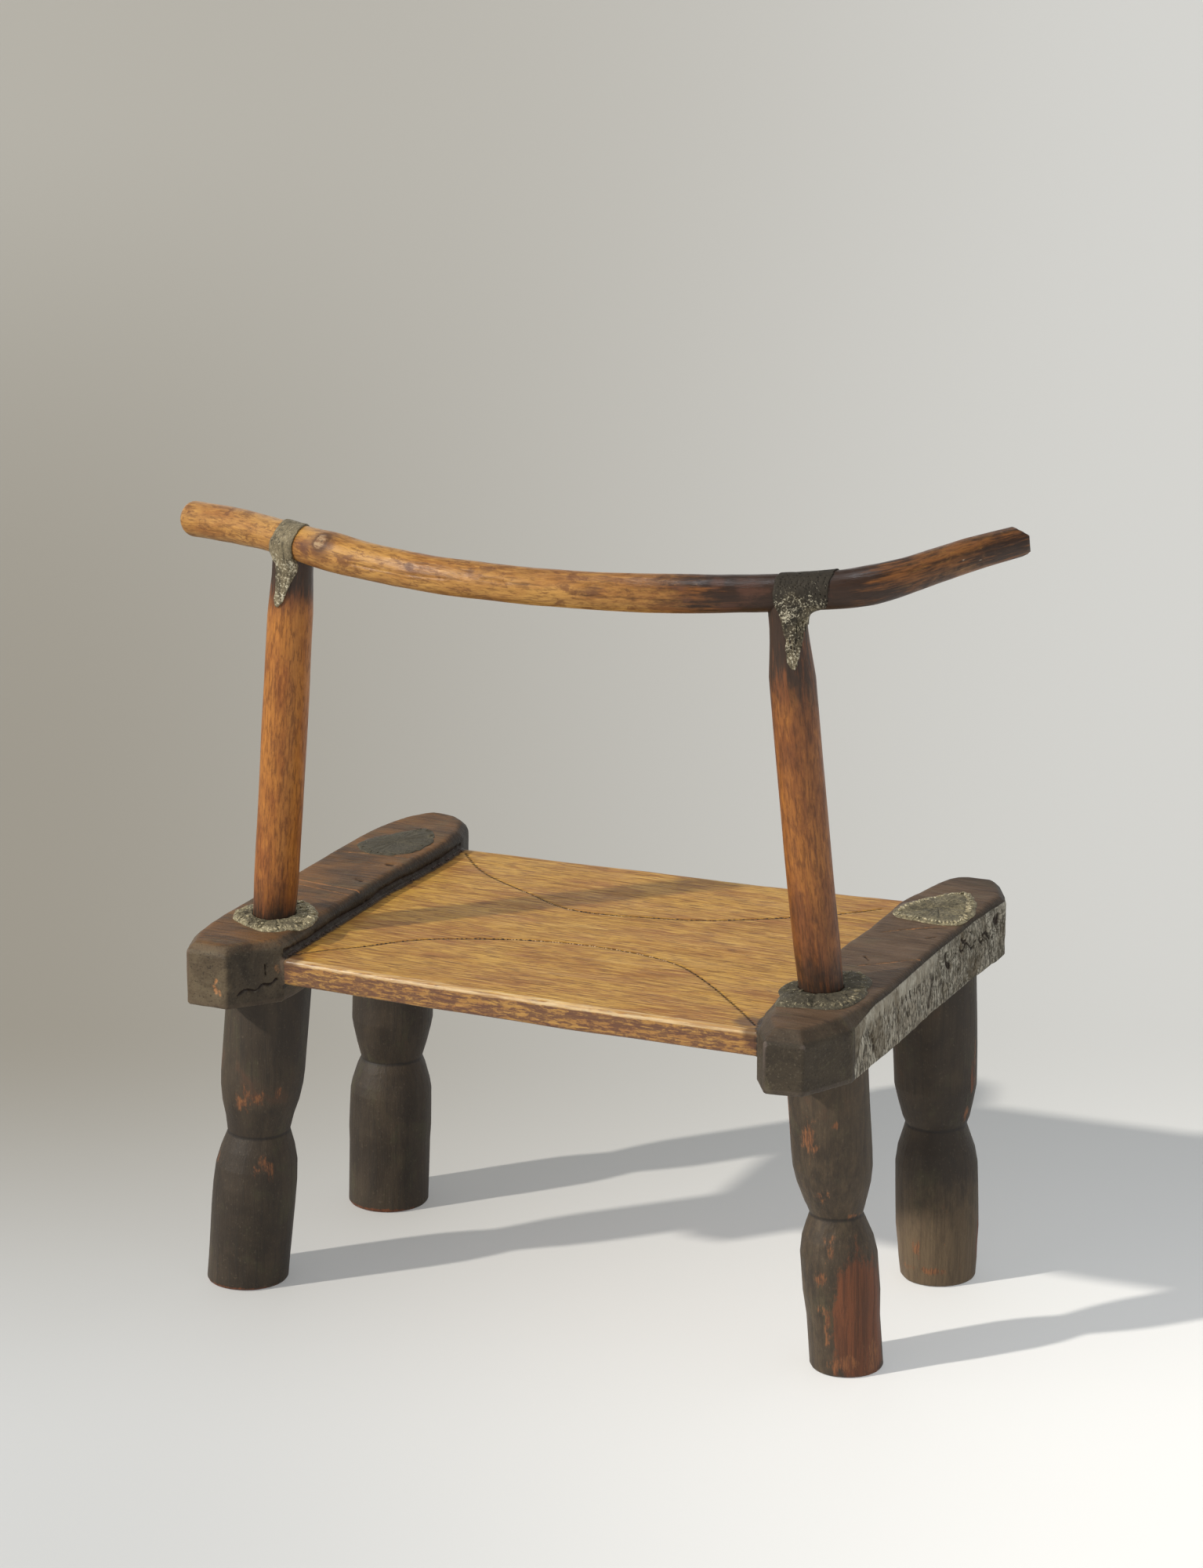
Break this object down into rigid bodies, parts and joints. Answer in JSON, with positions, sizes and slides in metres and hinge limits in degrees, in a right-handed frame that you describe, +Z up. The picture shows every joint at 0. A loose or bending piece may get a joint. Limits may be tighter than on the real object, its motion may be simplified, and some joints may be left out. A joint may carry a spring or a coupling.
{
  "type": "african birthing chair",
  "caption": "Low carved wooden chair with a thin seat between two thick side rails, round waisted legs, round back posts and a bent branch crest rail held by metal straps.",
  "frame": {"origin": "on the floor under the middle of the chair's bounding box", "axes": "+Z up, the sitter faces -Y so the back posts stand at +Y, +X is the sitter's left"},
  "size_m": [0.6513, 0.396, 0.6216],
  "materials": {
    "seat_wood": "hand-rubbed golden seat between dark smoked rails, worn pale on the rear edge",
    "leg_wood": "dark smoked hardwood, worn red-brown in patches",
    "post_wood": "polished by handling, darker at both ends",
    "crest_wood": "golden branch polished by handling, darker to the right",
    "strap_metal": "hammered grey metal with bright worn spots",
    "leaf_metal": "beaten grey-gold metal, crimped at the rim"
  },
  "bodies": {
    "root": {"seat_block": "seat_wood", "front_left_leg": "leg_wood", "front_right_leg": "leg_wood", "rear_left_leg": "leg_wood", "rear_right_leg": "leg_wood", "left_back_post": "post_wood", "right_back_post": "post_wood", "crest_rail": "crest_wood", "left_crest_strap": "strap_metal", "right_crest_strap": "strap_metal", "left_post_collar": "leaf_metal", "right_post_collar": "leaf_metal", "front_left_leg_cap": "leaf_metal", "front_right_leg_cap": "leaf_metal"}
  },
  "joints": []
}
